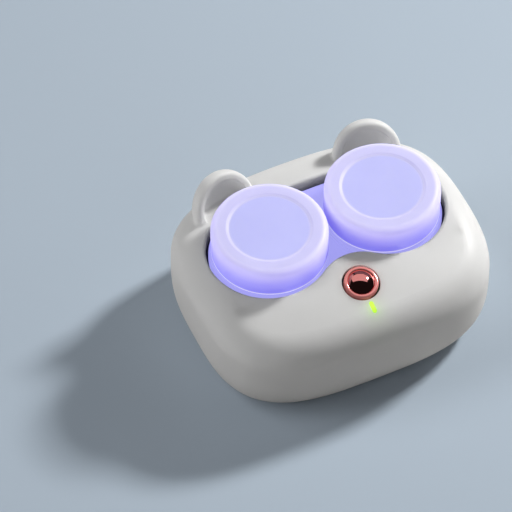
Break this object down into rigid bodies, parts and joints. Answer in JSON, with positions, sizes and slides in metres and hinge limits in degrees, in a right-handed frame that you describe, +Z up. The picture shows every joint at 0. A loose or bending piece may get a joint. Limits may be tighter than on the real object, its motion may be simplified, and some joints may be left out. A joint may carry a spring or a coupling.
{
  "type": "contact lens cleaner",
  "caption": "Contact lens cleaning device: a rounded housing with bear ears, a push button and an indicator, holding a lift-out lens case with screw caps.",
  "frame": {"origin": "on the table, at the bottom centre of the bounding box, under the middle of the housing", "axes": "+Z up, +X to the right seen from the button side, -Y towards the user (button and indicator), +Y to the back (ears and charging port)"},
  "size_m": [0.0782, 0.0628, 0.0371],
  "materials": {
    "housing_white": "satin, soft touch",
    "zinc_steel": "zinc plated",
    "grey_rubber": "matte",
    "frosted_tray": "frosted, translucent",
    "violet_case": "semi-gloss, translucent",
    "violet_cap": "semi-gloss, translucent",
    "clear_silicone": "translucent",
    "rose_chrome": "polished rose gold",
    "black_plastic": "matte",
    "circuit_board": "solder mask",
    "lamp_yellow": "clear resin",
    "light_pipe": "clear, tinted yellow-green",
    "lamp_violet": "clear resin",
    "port_steel": "nickel plated",
    "battery_foil": "foil pouch",
    "tungsten": "sintered tungsten"
  },
  "bodies": {
    "housing": {"upper_shell": "housing_white", "base_cover": "housing_white", "housing_screws": "zinc_steel", "tray_screws": "zinc_steel", "main_board_screws": "zinc_steel", "switch_board_screws": "zinc_steel", "rubber_feet": "grey_rubber", "tray_gasket": "grey_rubber", "battery_pad": "grey_rubber", "motor_sleeve": "grey_rubber", "case_tray": "frosted_tray", "switch_body": "black_plastic", "switch_board": "circuit_board", "main_board": "circuit_board", "board_chips": "black_plastic", "indicator_led": "lamp_yellow", "indicator_light_pipe": "light_pipe", "violet_leds": "lamp_violet", "port_shell": "port_steel", "port_tongue": "black_plastic", "battery_cell": "battery_foil", "motor_can": "port_steel"},
    "lens_case": {"lens_case": "violet_case"},
    "left_cap_liner": {"left_cap_seal": "clear_silicone"},
    "left_cap": {"left_cap": "violet_cap"},
    "right_cap_liner": {"right_cap_seal": "clear_silicone"},
    "right_cap": {"right_cap": "violet_cap"},
    "button": {"power_button": "rose_chrome", "switch_actuator": "black_plastic"},
    "motor_rotor": {"motor_shaft": "port_steel", "eccentric_weight": "tungsten"}
  },
  "joints": [
    {"name": "case_lift", "type": "slide", "parent": "housing", "child": "lens_case", "axis": [0, 0, 1], "range_m": [0, 0.045]},
    {"name": "left_cap_lift", "type": "slide", "parent": "lens_case", "child": "left_cap_liner", "axis": [0, 0, 1], "range_m": [0, 0.03]},
    {"name": "left_cap_turn", "type": "hinge", "parent": "left_cap_liner", "child": "left_cap", "pos_m": [-0.0159, 0.0028, 0.0283], "axis": [0, 0, 1], "range_deg": [0, 180]},
    {"name": "right_cap_lift", "type": "slide", "parent": "lens_case", "child": "right_cap_liner", "axis": [0, 0, 1], "range_m": [0, 0.03]},
    {"name": "right_cap_turn", "type": "hinge", "parent": "right_cap_liner", "child": "right_cap", "pos_m": [0.0159, 0.0028, 0.0283], "axis": [0, 0, 1], "range_deg": [0, 180]},
    {"name": "button_press", "type": "slide", "parent": "housing", "child": "button", "axis": [0, 0.2219, -0.9751], "range_m": [0, 0.0005], "stiffness_N_per_m": 3000},
    {"name": "motor_spin", "type": "hinge", "parent": "housing", "child": "motor_rotor", "pos_m": [0, -0.0172, 0.0145], "axis": [1, 0, 0], "continuous": true}
  ]
}
